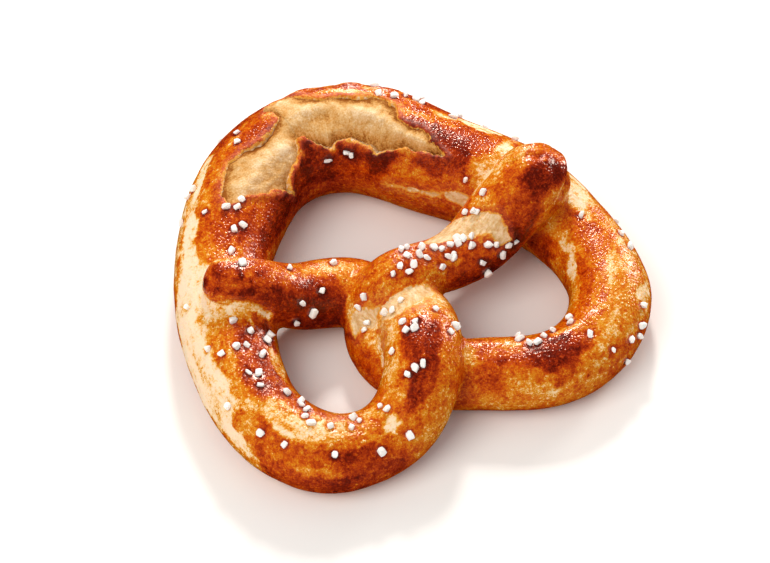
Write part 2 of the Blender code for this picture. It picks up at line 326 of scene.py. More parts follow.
# Salt, in scattered clusters: along mm, angle degrees, half-length mm, half-breadth degrees and
# grains. A row that stops early goes on as SALT_DEFAULTS does.
SALT_DEFAULTS = (0, 0, 0.5, 2, 1)
SALT_CLUSTERS = (
    # left tip and arm
    (8.5, 104, 1), (22, 104, 1), (42, 106, 1), (34, 52, 1), (26, 34, 1), (30.5, 15, 1), (27.5, -4, 1),
    # left strand
    (83, 38, 1, 3), (84, 68, 1), (91, 114, 1, 3), (92, 144, 1, 5), (95, 134, 1), (103.5, 96),
    (105.5, 85), (107, 76), (93.5, 81), (95.5, 75), (93, 58), (96, 64), (100.5, 42, 1, 3),
    (85, 50, 1, 3),
    # left loop
    (122.5, 135), (131.5, 134), (143.5, 122), (154, 128), (120, 80), (121, 71), (135, 75), (138, 85),
    (136, 65), (144.5, 81), (152, 78, 2, 3, 2), (160.5, 130), (155, 62), (158, 56), (161, 48),
    (165.5, 57), (172, 83), (177.5, 77), (179, 90), (188, 108), (188.5, 92), (188.5, 78), (193, 64),
    (185, 58), (198, 86), (191, 46, 1, 3), (194, 38, 1, 3), (173, 135), (192, 128), (208, 140, 1),
    # belly
    (240, 111), (242, 90), (243.5, 77, 0.5, 1), (246, 76, 0.3, 1), (235, 76), (237.5, 67), (226, 78),
    (270, 121), (267, 110), (305, 34, 0.5, 1), (308, 32, 0.5, 1), (312, 110, 0.5, 1),
    (316.5, 113, 0.5, 1), (321, 124, 3, 3, 2), (350, 46), (293, 29),
    # right loop
    (402, 132, 4, 3, 2), (430, 162, 1, 3), (432, 154, 1, 3), (438, 142), (436, 182, 1, 3), (441, 96),
    (438, 52, 1, 3), (441, 60), (453, 66, 1), (456, 72, 1), (459, 76, 1), (462, 60, 1), (463, 50, 1),
    (448, 52, 1), (390, 92),
    # right arm
    (512.5, 122), (515, 112), (522, 112), (524, 100), (531, 76), (533, 84), (534, 60), (535, 72),
    (536, 94), (537, 116, 1, 3, 2), (538, 84), (540, 70), (541, 102), (543, 49), (544, 96), (547, 62),
    (549, 56), (550, 64), (546, 84, 1, 3), (552, 88), (554, 82), (556, 90), (558, 84), (559, 62),
    (561, 76), (564.5, 48), (566, 38), (559, 24, 0.5, 3), (566, 14), (569, 22), (571, 10, 0.5, 3),
    (560, -4), (570, 110), (571, 102), (568, 124), (577.5, 112),
    # the back, out of reach of the twist
    (330, 140, 30, 14, 7), (260, 150, 20, 10, 4), (410, 150, 20, 10, 3),
)
SALT_TRIES = 12  # at a place for a grain that is clear of the others
GRAIN_RISES, GRAIN_SIDES = (-52, -18, 18, 52), 8  # degrees of a grain's rings, points in each
SALT_DENT = 0.3 * MM  # how far the crust sinks under a grain
SALT_BROWNING_AND_SHADE = 0.24  # added under one, as browning of the damp crust and as painted contact shade
SALT_REACH, SALT_FADE = 2.3 * MM, 1.2 * MM  # how far from it both reach, and over what they fade
BARE_CREASE = 0.04  # the lead of an own strand under which no grain lies

# The studio
AZIMUTH, ELEVATION = -24.5, 50  # degrees from which the camera looks
DISTANCE = 650 * MM
VIEW_WIDTH = 242.6 * MM  # of what the camera sees at the pretzel
CAMERA_TARGET = (1.93 * MM, -13.5 * MM, 12 * MM)
SENSOR_WIDTH = 36  # mm
SHIFT = (-0.035, 0.0085)  # of the lens, in frame widths
FLOOR_SIDE = 3.0  # metres
# Soft boxes: name, place in metres, side in metres, power in watts, and whether it shines back off
# gloss, as the floor and the surroundings don't
LIGHTS = (
    ("key", (0.28, 0.58, 0.56), 0.12, 4.4, True),
    ("low back", (0.34, 0.80, 0.18), 0.12, 1.4, True),
    ("side", (0.82, 0.30, 0.25), 0.20, 3.2, True),
    ("fill", (-0.62, -0.20, 0.76), 0.70, 6.0, False),
)
LIGHT_COLOUR = "#FFF8F0"
WORLD_STRENGTH = 0.52


def colour(code):
    """An sRGB hex code as linear red, green, blue and alpha."""
    parts = [int(code[i : i + 2], 16) / 255 for i in (1, 3, 5)]
    return [c / 12.92 if c < 0.04045 else ((c + 0.055) / 1.055) ** 2.4 for c in parts] + [1.0]


class PRETZEL_PG_skin(bpy.types.PropertyGroup):
    """Sizes of the baked skin and its burst"""

    wander: bpy.props.FloatProperty(
        name="Unevenness",
        description="How far the rope's surface wanders from a smooth tube",
        default=0.45 * MM,
        unit="LENGTH",
    )
    lip: bpy.props.FloatProperty(
        name="Lip height",
        description="How far the crust curls up along the burst",
        default=0.9 * MM,
        unit="LENGTH",
    )
    recess: bpy.props.FloatProperty(
        name="Pale recess",
        description="How far the unbrowned patches lie below the browned crust",
        default=0.25 * MM,
        unit="LENGTH",
    )
    browning: bpy.props.FloatProperty(
        name="Browning",
        description="Added to the browning all over",
        default=0.0,
        subtype="FACTOR",
    )


class PRETZEL_PG_crumb(bpy.types.PropertyGroup):
    """Sizes of the crumb in the burst"""

    depth: bpy.props.FloatProperty(
        name="Depth",
        description="How deep the crumb lies behind the inner lip",
        default=2.2 * MM,
        unit="LENGTH",
    )
    strings: bpy.props.FloatProperty(
        name="Strings",
        description="Height of the stretched strings of dough",
        default=0.16 * MM,
        unit="LENGTH",
    )
    folds: bpy.props.FloatProperty(
        name="Folds",
        description="How deep the creases lie between the crumb's pillowy lumps",
        default=1.0 * MM,
        unit="LENGTH",
    )


class PRETZEL_PG_salt(bpy.types.PropertyGroup):
    """Size and colour of the salt"""

    grain: bpy.props.FloatProperty(
        name="Grain size",
        description="Length of a middling grain of salt",
        default=3.0 * MM,
        unit="LENGTH",
    )
    colour: bpy.props.FloatVectorProperty(
        name="Colour",
        description="Colour of the compacted salt",
        subtype="COLOR",
        size=4,
        default=colour("#FBF6F0"),
    )


class PRETZEL_PG_stage(bpy.types.PropertyGroup):
    """The studio round the pretzel"""

    light: bpy.props.FloatProperty(
        name="Light",
        description="Multiplies the power of every soft box",
        default=1.0,
        subtype="FACTOR",
    )
    floor: bpy.props.FloatVectorProperty(
        name="Floor",
        description="Colour of the paper floor",
        subtype="COLOR",
        size=4,
        default=colour("#FAF9F7"),
    )


# ---------------------------------------------------------------------------------------------
# Numbers and noise


def smooth(x):
    """0 below 0, 1 above 1, and 3x^2 - 2x^3 between."""
    x = np.clip(x, 0, 1)
    return x * x * (3 - 2 * x)


def noise(points, size, seed):
    """Random values from -1 to 1 on a cubic lattice with cells of this size, blended smoothly."""
    side = 48
    table = np.random.default_rng(seed).uniform(-1, 1, (side, side, side))
    place = points / size
    cell = np.floor(place).astype(int)
    share = smooth(place - cell)
    total = np.zeros(len(points))
    for corner in np.ndindex(2, 2, 2):
        weight = np.prod(np.where(corner, share, 1 - share), axis=1)
        x, y, z = ((cell + corner) % side).T
        total += weight * table[x, y, z]
    return total


def layered_noise(points, size, seed, layers=3):
    """Noise plus half of it at half the size, and so on, brought back to -1 to 1."""
    total = sum(noise(points, size / 2**k, seed + k) / 2**k for k in range(layers))
    return total / sum(1 / 2**k for k in range(layers))


# ---------------------------------------------------------------------------------------------
# The rope


def natural_spline(knots, values, at):
    """Cubic spline through values at knots, with no bend at its two ends."""
    gaps = np.diff(knots)
    slopes = np.diff(values, axis=0) / gaps[:, None]
    count = len(knots)
    system = np.eye(count)
    bends = np.zeros_like(values)
    for i in range(1, count - 1):
        system[i, i - 1 : i + 2] = (gaps[i - 1], 2 * (gaps[i - 1] + gaps[i]), gaps[i])
        bends[i] = 6 * (slopes[i] - slopes[i - 1])
    bends = np.linalg.solve(system, bends)
    k = np.clip(np.searchsorted(knots, at) - 1, 0, count - 2)
    gap = gaps[k][:, None]
    after = (at - knots[k])[:, None]
    before = gap - after
    bowed = (bends[k] * before**3 + bends[k + 1] * after**3) / (6 * gap)
    start = (values[k] / gap - bends[k] * gap / 6) * before
    end = (values[k + 1] / gap - bends[k + 1] * gap / 6) * after
    return bowed + start + end


class Rope:
    """The rope's middle line, with its width and its frame at any distance along it."""

    def __init__(self):
        rows = np.array([(x, y, -SINK if up is None else up, w) for x, y, up, w in STATIONS])
        rows = rows * MM
        rows[:, 2] += ROUNDNESS * rows[:, 3] / 2
        steps = np.linalg.norm(np.diff(rows[:, :3], axis=0), axis=1)
        knots = np.append(0, np.cumsum(steps))
        samples = np.linspace(0, knots[-1], int(knots[-1] / SAMPLE_STEP))
        line = natural_spline(knots, rows, samples)
        self.points = line[:, :3]
        self.widths = line[:, 3]
        steps = np.linalg.norm(np.diff(self.points, axis=0), axis=1)
        self.along = np.append(0, np.cumsum(steps))
        self.length = self.along[-1]
        self.tangents = np.gradient(self.points, self.along, axis=0)
        rings = self.skin(np.linspace(0, self.length, 600), TURNS)
        low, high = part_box("pretzel")
        middle = (rings.min(axis=(0, 1)) + rings.max(axis=(0, 1))) / 2
        self.points[:, :2] += (np.array(low + high) / 2 - middle)[:2]

    def read(self, table, at):
        """The value of a table of samples along the rope at these distances."""
        if table.ndim == 1:
            return np.interp(at, self.along, table)
        return np.stack([np.interp(at, self.along, column) for column in table.T], axis=1)

    def frame(self, at):
        """Middle point, tangent, side (inwards) and up direction at these distances."""
        tangent = self.read(self.tangents, at)
        tangent /= np.linalg.norm(tangent, axis=1)[:, None]
        side = np.cross(tangent, (0, 0, 1))
        side /= np.linalg.norm(side, axis=1)[:, None]
        return self.read(self.points, at), tangent, side, np.cross(side, tangent)

    def half_width(self, at):
        """Half the rope's width, which falls to nothing at the tips along a quarter circle."""
        caps = CAP_SHARE * self.widths[[0, -1]]
        to_end = np.minimum(at / caps[0], (self.length - at) / caps[1])
        rounding = np.sqrt(np.clip(1 - (1 - np.clip(to_end, 0, 1)) ** 2, 0, 1))
        return self.read(self.widths, at) * rounding / 2

    def skin(self, at, turn):
        """A grid of points: an ellipse carried along the middle line, flat on the baking sheet."""
        middle, _, side, up = self.frame(at)
        half = self.half_width(at)[:, None, None]
        across = np.cos(turn)[None, :, None] * side[:, None]
        rise = ROUNDNESS * np.sin(turn)[None, :, None] * up[:, None]
        points = middle[:, None] + half * (across + rise)
        points[..., 2] = np.maximum(points[..., 2], 0)
        return points

    def coordinates(self, points):
        """For each point: along, angle, and how much nearer its own strand is than the next one.

        The nearest sample is the one with the smallest distance over half-width, where a tip
        counts as a ball round the last sample before its rounding. The last value is the gap
        between that quotient and the next strand's.
        """
        caps = CAP_SHARE * self.widths[[0, -1]]
        first, last = np.searchsorted(self.along, (caps[0], self.length - caps[1]))
        pick = slice(first, last, 3)
        middle, along, half = self.points[pick], self.along[pick], self.widths[pick] / 2
        best = np.empty(len(points), int)
        lead = np.empty(len(points))
        for start in range(0, len(points), 8000):
            part = slice(start, start + 8000)
            quotient = np.linalg.norm(points[part, None] - middle, axis=2) / half
            nearest = quotient.argmin(axis=1)
            best[part] = nearest
            own = quotient[np.arange(len(nearest)), nearest]
            far = np.abs(along[nearest][:, None] - along) > OTHER_STRAND
            lead[part] = np.where(far, quotient, 9).min(axis=1) - own
        at = along[best]
        for _ in range(3):
            centre, tangent, side, up = self.frame(at)
            at = np.clip(at + np.sum((points - centre) * tangent, axis=1), 0, self.length)
        centre, tangent, side, up = self.frame(at)
        offset = points - centre
        angle = np.arctan2(np.sum(offset * up, axis=1) / ROUNDNESS, np.sum(offset * side, axis=1))
        angle = np.degrees(angle)
        return at, np.where(angle < -90, angle + 360, angle), lead


# ---------------------------------------------------------------------------------------------
# Outlines in rope coordinates


def degree_length(rope, along):
    """The length of one degree round the rope, which stays above nothing at the tips."""
    return np.radians(np.maximum(rope.half_width(along), 2 * MM))


def gap_to(line, along, angle, arc):
    """Distance in metres to a line of (along mm, angle degrees) corners.

    The rope's surface is read as a plane of along and arc length, where arc is the length of one
    degree. Each stretch of the line gives the distance to its nearest point, and the least counts.
    """
    best = np.full(len(along), np.inf)
    for (x0, y0), (x1, y1) in zip(line, line[1:]):
        run, rise = (x1 - x0) * MM, (y1 - y0) * arc
        right, up = along - x0 * MM, (angle - y0) * arc
        share = np.clip((right * run + up * rise) / (run**2 + rise**2), 0, 1)
        best = np.minimum(best, np.hypot(right - share * run, up - share * rise))
    return best


def depth_inside(outline, along, angle, arc):
    """Distance in metres to the edge of an outline, above 0 inside it and below 0 outside.

    A point is inside if the way from it towards growing angle crosses the edge an odd number of
    times.
    """
    closed = outline + outline[:1]
    gap = gap_to(closed, along, angle, arc)
    odd = np.zeros(len(along), bool)
    for (x0, y0), (x1, y1) in zip(closed, closed[1:]):
        if x0 != x1:
            share = (along / MM - x0) / (x1 - x0)
            odd ^= ((x0 * MM <= along) != (x1 * MM <= along)) & (y0 + share * (y1 - y0) > angle)
    return np.where(odd, gap, -gap)


def raggedness(points):
    """How far the edges of crust and crumb wander off their outlines: noise of three sizes."""
    wide = 0.75 * MM * noise(points, 4.3 * MM, 5)
    return wide + 0.55 * MM * noise(points, 1.9 * MM, 6) + 0.25 * MM * noise(points, 1.0 * MM, 7)


def burst_depths(points, along, angle, arc):
    """Distance inside the burst, how far a place belongs to its inner lip (1) or its outer edge
    (0), and the distance to the inner lip."""
    inside = depth_inside(INNER_LIP + OUTER_EDGE, along, angle, arc) + 1.3 * raggedness(points)
    to_lip = gap_to(INNER_LIP, along, angle, arc)
    to_edge = gap_to(OUTER_EDGE, along, angle, arc)
    return inside, smooth((to_edge - to_lip) / (5 * MM) + 0.5), to_lip


# ---------------------------------------------------------------------------------------------
# Meshes


def tube_faces(count, sides):
    """The faces of a closed tube of so many rings and sides: quads, and triangles at its ends.

    The triangles are two fans: the first ring's to the vertex after the last ring, and the last
    ring's to the vertex after that.
    """
    grid = np.arange(count * sides).reshape(count, sides)
    around = np.roll(grid, -1, axis=1)
    quads = np.stack([grid[:-1], around[:-1], around[1:], grid[1:]], axis=2).reshape(-1, 4)
    first = np.stack([np.full(sides, grid.size), around[0], grid[0]], axis=1)
    last = np.stack([np.full(sides, grid.size + 1), grid[-1], around[-1]], axis=1)
    return quads, np.vstack([first, last])


def closed_tube(name, rings, ends):
    """A mesh of quads between rings, with a fan of triangles to a point at each end."""
    quads, fans = tube_faces(*rings.shape[:2])
    points = np.vstack([rings.reshape(-1, 3), *ends])
    mesh = bpy.data.meshes.new(name)
    mesh.from_pydata(points.tolist(), [], quads.tolist() + fans.tolist())
    return mesh


def vertices_of(mesh):
    """The places of a mesh's vertices, one row each."""
    values = np.empty(len(mesh.vertices) * 3, np.float32)
    mesh.vertices.foreach_get("co", values)
    return values.reshape(-1, 3).astype(float)


def normals_of(mesh):
    """The directions in which a mesh's vertices face, one row each."""
    values = np.empty(len(mesh.vertices) * 3, np.float32)
    mesh.vertex_normals.foreach_get("vector", values)
    return values.reshape(-1, 3).astype(float)


def set_vertices(mesh, points):
    """Moves a mesh's vertices to these places."""
    mesh.vertices.foreach_set("co", points.astype(np.float32).ravel())
    mesh.update()


def store(mesh, **numbers):
    """Keeps numbers, or rows of three, for each vertex as attributes that others can read."""
    for name, values in numbers.items():
        rows = values.ndim == 2
        layer = mesh.attributes.new(name, "FLOAT_VECTOR" if rows else "FLOAT", "POINT")
        layer.data.foreach_set("vector" if rows else "value", values.astype(np.float32).ravel())


def stored(mesh, name):
    """The numbers that store kept under this name, one for each vertex."""
    values = np.empty(len(mesh.vertices), np.float32)
    mesh.attributes[name].data.foreach_get("value", values)
    return values.astype(float)


class Neighbours:
    """Averages over the vertices that share an edge with each vertex."""

    def __init__(self, mesh):
        edges = np.empty(len(mesh.edges) * 2, np.int32)
        mesh.edges.foreach_get("vertices", edges)
        self.a, self.b = edges.reshape(-1, 2).T
        self.count = len(mesh.vertices)
        self.degree = np.bincount(np.append(self.a, self.b), minlength=self.count)

    def mean(self, values):
        """The mean of the neighbours' values."""
        total = np.bincount(self.a, values[self.b], self.count)
        total += np.bincount(self.b, values[self.a], self.count)
        return total / self.degree

    def relax(self, points, weight, rounds):
        """Moves points towards their neighbours' mean, by a share given for each vertex."""
        for _ in range(rounds):
            mean = np.stack([self.mean(column) for column in points.T], axis=1)
            points = points + weight[:, None] * (mean - points)
        return points


def new_piece(name, mesh, material):
    """Puts a finished mesh with its material into the scene, as a piece at the origin."""
    mesh.materials.clear()
    mesh.materials.append(material)
    piece = bpy.data.objects.new(name, mesh)
    bpy.context.scene.collection.objects.link(piece)
    return piece


# ---------------------------------------------------------------------------------------------
# Materials

SMOOTH = {"interpolation_type": "SMOOTHSTEP"}  # for a Map Range node


def add(tree, kind, sockets, out=0, **settings):
    """Adds a shader node, sets or links its sockets, and gives back one of its outputs.

    The kind is the node's type after ShaderNode. Sockets are values, or the outputs that feed
    them, in the node's own order or under their names or numbers. Settings are the node's own
    fields.
    """
    node = tree.nodes.new("ShaderNode" + kind)
    for name, value in settings.items():
        setattr(node, name, value)
    pairs = sockets.items() if isinstance(sockets, dict) else enumerate(sockets)
    for key, value in pairs:
        if isinstance(value, bpy.types.NodeSocket):
            tree.links.new(value, node.inputs[key])
        else:
            node.inputs[key].default_value = value
    return node.outputs[out]


def new_finish(name, **sockets):
    """A new material, its node tree and its shader, whose sockets get these values.

    A socket's name has _ for each space.
    """
    material = bpy.data.materials.new(name)
    material.use_nodes = True
    shader = material.node_tree.nodes["Principled BSDF"]
    for socket, value in sockets.items():
        shader.inputs[socket.replace("_", " ")].default_value = value
    return material, material.node_tree, shader


def weighted(tree, start, *terms):
    """start plus each term's first part times its second."""
    for value, weight in terms:
        start = add(tree, "Math", (value, weight, start), operation="MULTIPLY_ADD")
    return start


def swayed(tree, start, *terms):
    """start plus, for each noise and its weight, the weight times how far it is from its middle."""
    middle = -sum(weight for _, weight in terms) / 2
    return weighted(tree, start, (1.0, middle), *terms)


def put_stops(ramp, stops):
    """Gives a colour ramp these positions and hex codes."""
    while len(ramp.elements) < len(stops):
        ramp.elements.new(1.0)
    for element, (position, code) in zip(ramp.elements, stops):
        element.position = position
        element.color = colour(code)


def baked_crust():
    """Lye crust: wheat dough dipped in lye and baked.

    The oven turns it orange to chestnut, with a low, uneven gloss over blisters as fine as sand.
    Where the dough stretched late it stays golden to cream and dry, and where it tore the crumb
    shows behind a thin golden rim.
    """
    material, tree, shader = new_finish(
        "baked lye crust", IOR=1.5, Specular_IOR_Level=0.7, Specular_Tint=colour("#FFE6D8"),
        Subsurface_Weight=0.2, Subsurface_Radius=(1.2 * MM, 0.5 * MM, 0.2 * MM), Subsurface_Scale=1.0,
    )
    place = add(tree, "TexCoord", (), "Object")
    lay = add(tree, "Attribute", (), "Vector", attribute_name="lay")
    # noises: coordinates, grain size in mm, detail and roughness
    streaks, broad, fine, tiny, stretched, crowded, dimpled = (
        add(
            tree,
            "TexNoise",
            {"Vector": where, "Scale": 1 / (size * MM), "Detail": detail, "Roughness": rough},
        )
        for where, size, detail, rough in (
            (lay, 1.5, 4.0, 0.65), (place, 3.5, 5.0, 0.65), (place, 1.0, 4.0, 0.6),
            (place, 0.4, 2.0, 0.6), (place, 3.0, 4.0, 0.6), (place, 5.0, 3.0, 0.6),
            (place, 1.3, 1.0, 0.6),
        )
    )
    # the distance inside a tear, in mm, with a ragged edge
    tear = swayed(tree, add(tree, "Attribute", (), "Fac", attribute_name="tear"), (fine, 2.0))
    torn = add(tree, "MapRange", (tear, 0.2, 0.4), **SMOOTH)
    crust_left = add(tree, "Math", (1.0, torn), operation="SUBTRACT")
    near_tear = add(tree, "MapRange", (tear, -0.4, 0.0), **SMOOTH)
    rim = add(tree, "Math", (near_tear, crust_left), operation="MULTIPLY")
    # mottling, weaker where the crust is nearly black
    # the stored darkness is browning with painted shade in the folds, round the salt and in some dark
    # strokes
    bake_and_shade_attribute = add(tree, "Attribute", (), "Fac", attribute_name="bake")
    mottle = add(tree, "MapRange", (bake_and_shade_attribute, 0.45, 0.9, 1.0, 0.75), **SMOOTH)
    flecks = swayed(tree, 0.0, (broad, 0.9), (fine, 0.6), (streaks, 0.45), (tiny, 0.5))
    # thin golden veins where the skin stretched
    off_middle = add(tree, "Math", (swayed(tree, 0.0, (stretched, 1.0)),), operation="ABSOLUTE")
    veins = add(tree, "MapRange", (off_middle, 0.03, 0.0), **SMOOTH)
    # blisters: low domes, whose tops are painted paler as a painted highlight, and larger golden ones
    # in swarms
    small, large = (
        add(tree, "TexVoronoi", {"Vector": place, "Scale": 1 / (size * MM)}) for size in (1.0, 2.0)
    )
    domes = add(tree, "MapRange", (small, 0.6, 0.05), **SMOOTH)
    golden = add(tree, "MapRange", (large, 0.3, 0.14), **SMOOTH)
    swarm = add(tree, "MapRange", (crowded, 0.5, 0.62), **SMOOTH)
    speck = add(tree, "Math", (golden, swarm), operation="MULTIPLY")
    bake = weighted(tree, bake_and_shade_attribute, (flecks, mottle), (veins, -0.15), (domes, -0.1), (speck, -0.2))
    # a Mix node has its colours at sockets 6 and 7 and its mixed colour at output 2
    shade = add(tree, "ValToRGB", (bake,))
    put_stops(shade.node.color_ramp, CRUST_COLOURS)
    rim_colour = shade.node.color_ramp.evaluate(RIM_BROWNING)
    shade = add(tree, "Mix", {0: rim, 6: shade, 7: rim_colour}, 2, data_type="RGBA")
    threads = add(tree, "ValToRGB", (swayed(tree, 0.62, (streaks, 1.3), (fine, 0.6)),))
    put_stops(threads.node.color_ramp, CRUMB_COLOURS)
    shade = add(tree, "Mix", {0: torn, 6: shade, 7: threads}, 2, data_type="RGBA")
    tree.links.new(shade, shader.inputs["Base Color"])
    # dry where it stayed pale and beside the tear
    gloss = add(tree, "MapRange", (bake, 0.12, 0.3, 0.55, 0.23), **SMOOTH)
    dryness = add(tree, "MapRange", (tear, -3.5, -1.0), **SMOOTH)
    tree.links.new(weighted(tree, gloss, (dryness, 0.35)), shader.inputs["Roughness"])
    relief = weighted(tree, dimpled, (tiny, 0.25), (streaks, 0.3), (domes, 1.0), (speck, 0.8))
    relief = add(tree, "Bump", {"Strength": 0.9, "Distance": 0.12 * MM, "Height": relief})
    tree.links.new(relief, shader.inputs["Normal"])
    return material


def torn_crumb():
    """Wheat crumb torn open in the oven: dry, matte, finely fibrous and the colour of white bread.

    Its tops are painted pale as painted light and its folds darker as painted shade. Its strings run
    along the torn direction, so their grain is drawn in the `strings` coordinates.
    """
    material, tree, shader = new_finish(
        "torn wheat crumb", IOR=1.4, Specular_IOR_Level=0.2, Roughness=0.85
    )
    place = add(tree, "TexCoord", (), "Object")
    strings = add(tree, "Attribute", (), "Vector", attribute_name="strings")
    # noises: coordinates, grain size in mm, detail and roughness
    fibres, pores, patches = (
        add(
            tree,
            "TexNoise",
            {"Vector": where, "Scale": 1 / (size * MM), "Detail": detail, "Roughness": rough},
        )
        for where, size, detail, rough in (
            (strings, 0.9, 3.0, 0.6), (place, 0.6, 3.0, 0.65), (place, 3.5, 4.0, 0.65),
        )
    )
    level = add(tree, "Attribute", (), "Fac", attribute_name="level")
    level = swayed(tree, level, (patches, 0.5), (fibres, 0.32), (pores, 0.9))
    shade = add(tree, "ValToRGB", (level,))
    put_stops(shade.node.color_ramp, CRUMB_COLOURS)
    tree.links.new(shade, shader.inputs["Base Color"])
    relief = weighted(tree, fibres, (pores, 0.7))
    relief = add(tree, "Bump", {"Strength": 0.8, "Distance": 0.4 * MM, "Height": relief})
    tree.links.new(relief, shader.inputs["Normal"])
    return material


def coarse_salt(tint):
    """Pretzel salt: compacted evaporated salt, so each grain is an opaque white lump, matte where
    it broke."""
    material, tree, shader = new_finish(
        "compacted coarse salt", Base_Color=tint, Roughness=0.55, IOR=1.54, Subsurface_Weight=0.6,
        Subsurface_Radius=(1 * MM, 0.9 * MM, 0.85 * MM), Subsurface_Scale=1.0,
    )
    place = add(tree, "TexCoord", (), "Object")
    pits = {"Vector": place, "Scale": 1 / (0.5 * MM), "Detail": 2.0, "Roughness": 0.6}
    pits = add(tree, "TexNoise", pits)
    relief = add(tree, "Bump", {"Strength": 1.0, "Distance": 0.12 * MM, "Height": pits})
    tree.links.new(relief, shader.inputs["Normal"])
    return material


def white_paper(tint):
    """Studio background paper: rolled white paper, uncoated and matte."""
    return new_finish("matte background paper", Base_Color=tint, Roughness=0.95)[0]


# ---------------------------------------------------------------------------------------------
# Pieces


def fused_rope(rope):
    """A mesh of the swept rope with its crossing strands fused, about one voxel to a face."""
    caps = CAP_SHARE * rope.widths[[0, -1]]
    turn = np.linspace(0, np.pi / 2, 9)[1:]
    first = caps[0] * (1 - np.cos(turn))
    last = rope.length - caps[1] * (1 - np.cos(turn[::-1]))
    between = np.arange(first[-1] + RING_STEP, last[0] - RING_STEP / 2, RING_STEP)
    rings = rope.skin(np.concatenate([first, between, last]), TURNS)
    swept = closed_tube("swept", rings, (rope.points[0], rope.points[-1]))
    rough = bpy.data.objects.new("swept", swept)
    bpy.context.scene.collection.objects.link(rough)
    fuse = rough.modifiers.new("fuse strands", "REMESH")
    fuse.mode = "VOXEL"
    fuse.voxel_size = VOXEL
    fuse.use_smooth_shade = True
    depsgraph = bpy.context.evaluated_depsgraph_get()
    fused = bpy.data.meshes.new_from_object(rough.evaluated_get(depsgraph))
    bpy.data.objects.remove(rough)
    bpy.data.meshes.remove(swept)
    fused.name = "pretzel_skin"
    return fused


def bake_skin(settings):
    """The crust over the whole rope, with its fillets, tears, folds and burst as relief."""
    rope = Rope()
    mesh = fused_rope(rope)
    along, angle, lead = rope.coordinates(vertices_of(mesh))
    fillet = smooth(1 - lead / CREASE_REACH)
    points = Neighbours(mesh).relax(vertices_of(mesh), fillet, CREASE_ROUNDS)
    points[:, 2] = np.maximum(points[:, 2], 0)
    set_vertices(mesh, points)
    arc = degree_length(rope, along)
    burst, at_lip, _ = burst_depths(points, along, angle, arc)
    ragged = raggedness(points)
    tear = np.maximum.reduce([depth_inside(t, along, angle, arc) for t in TEARS]) + ragged
    bake, pale = browning(along, angle, arc, points)
    height = settings.wander * layered_noise(points, 18 * MM, 1)
    height += 0.12 * MM * layered_noise(points, 5 * MM, 2)
    curl = np.exp(-(((burst + LIP_REACH) / LIP_REACH) ** 2))
    height += settings.lip * curl * (0.3 + 0.7 * at_lip) * (1 + 0.5 * noise(points, 3 * MM, 4))
    height -= DIG * smooth(burst / (1.2 * MM))
    height -= settings.recess * np.maximum(pale, 1.6 * smooth(tear / (1.0 * MM)))
    for line, depth, breadth in FOLDS:
        fold = np.exp(-((gap_to(line, along, angle, arc) / (breadth * MM)) ** 2))
        height -= depth * MM * fold
        # a fold is painted darker, as painted shade in the crease
        bake += FOLD_SHADE * max(depth, 0) * fold
    share, rise, bubbles = blisters(along, angle, points)
    height += rise + BLISTER_HEIGHT * share * bubbles
    lift = smooth(points[:, 2] / (3 * MM))
    points = points + normals_of(mesh) * (height * lift)[:, None]
    points[:, 2] = np.maximum(points[:, 2], 0)
    set_vertices(mesh, points)
    tear = np.maximum(tear, burst) / MM
    # the streaks of the stretched skin run along the rope, and drift about
    drift = [2 * MM * noise(points, 6 * MM, seed) for seed in (61, 62)]
    lay = np.stack([along / 3, (angle - 90) * arc + drift[0], drift[1]], axis=1)
    bake += settings.browning
    # the stored darkness holds the browning together with the painted shade of the folds and of some
    # dark strokes; the salt adds more later
    store(mesh, along=along, angle=angle, lead=lead, bake=bake, tear=tear, lay=lay)
    return new_piece("pretzel_skin", mesh, baked_crust())


def blisters(along, angle, points):
    """How far each vertex is in blistered skin, the mean rise there, and bubbles of two sizes."""
    share = np.zeros(len(points))
    rise = np.zeros(len(points))
    for middle, turn, length, breadth, lift in BLISTERS:
        q = np.hypot((along - middle * MM) / (length * MM), (angle - turn) / breadth)
        inside = smooth(1.5 * (1 - q))
        share = np.maximum(share, inside)
        rise += lift * MM * inside
    large, small = (np.maximum(noise(points, size, 51), 0) for size in (2.2 * MM, 1.3 * MM))
    return share, rise, large + 0.5 * small


def browning(along, angle, arc, points):
    """How dark the crust is at each vertex, from browning and from painted shade in some dark strokes,
    and the share of a pale patch that it has.

    Each stroke pulls the browning to its own value inside an ellipse whose place is shaken by
    noise of three sizes; the pale patches then do the same inside their outlines.
    """
    shake = [
        2.0 * MM * noise(points, 9 * MM, seed)
        + 1.3 * MM * noise(points, 4 * MM, seed + 1)
        + 0.7 * MM * noise(points, 1.8 * MM, seed + 2)
        for seed in (21, 31)
    ]
    shaken_along = along + shake[0]
    shaken_angle = angle + shake[1] / arc
    bake = np.full(len(points), EVEN_BROWNING)
    for middle, turn, length, breadth, value in BROWNING_AND_SHADE:
        q = np.hypot((shaken_along - middle * MM) / (length * MM), (shaken_angle - turn) / breadth)
        bake += smooth((1 - q) / STROKE_EDGE + 0.5) * (value - bake)
    bake += 0.15 * layered_noise(points, 6 * MM, 11, 4)
    share, _, bubbles = blisters(along, angle, points)
    bake += BLISTER_BROWNING * share * (bubbles - 0.25)
    pale = np.zeros(len(points))
    fingers = np.stack([along / 4, (angle - 90) * arc, 0 * arc], axis=1)
    edge = 1.4 * raggedness(points) + 1.0 * MM * layered_noise(fingers, 1.6 * MM, 17, 2)
    mottle = layered_noise(points, 6 * MM, 14, 4) + 0.8 * noise(fingers, 1.5 * MM, 18)
    for value, outline in PALE_PATCHES:
        share = smooth((depth_inside(outline, along, angle, arc) + edge) / (2.0 * MM) + 0.5)
        bake += share * (value + 0.2 * mottle - bake)
        pale = np.maximum(pale, share)
    return bake, pale


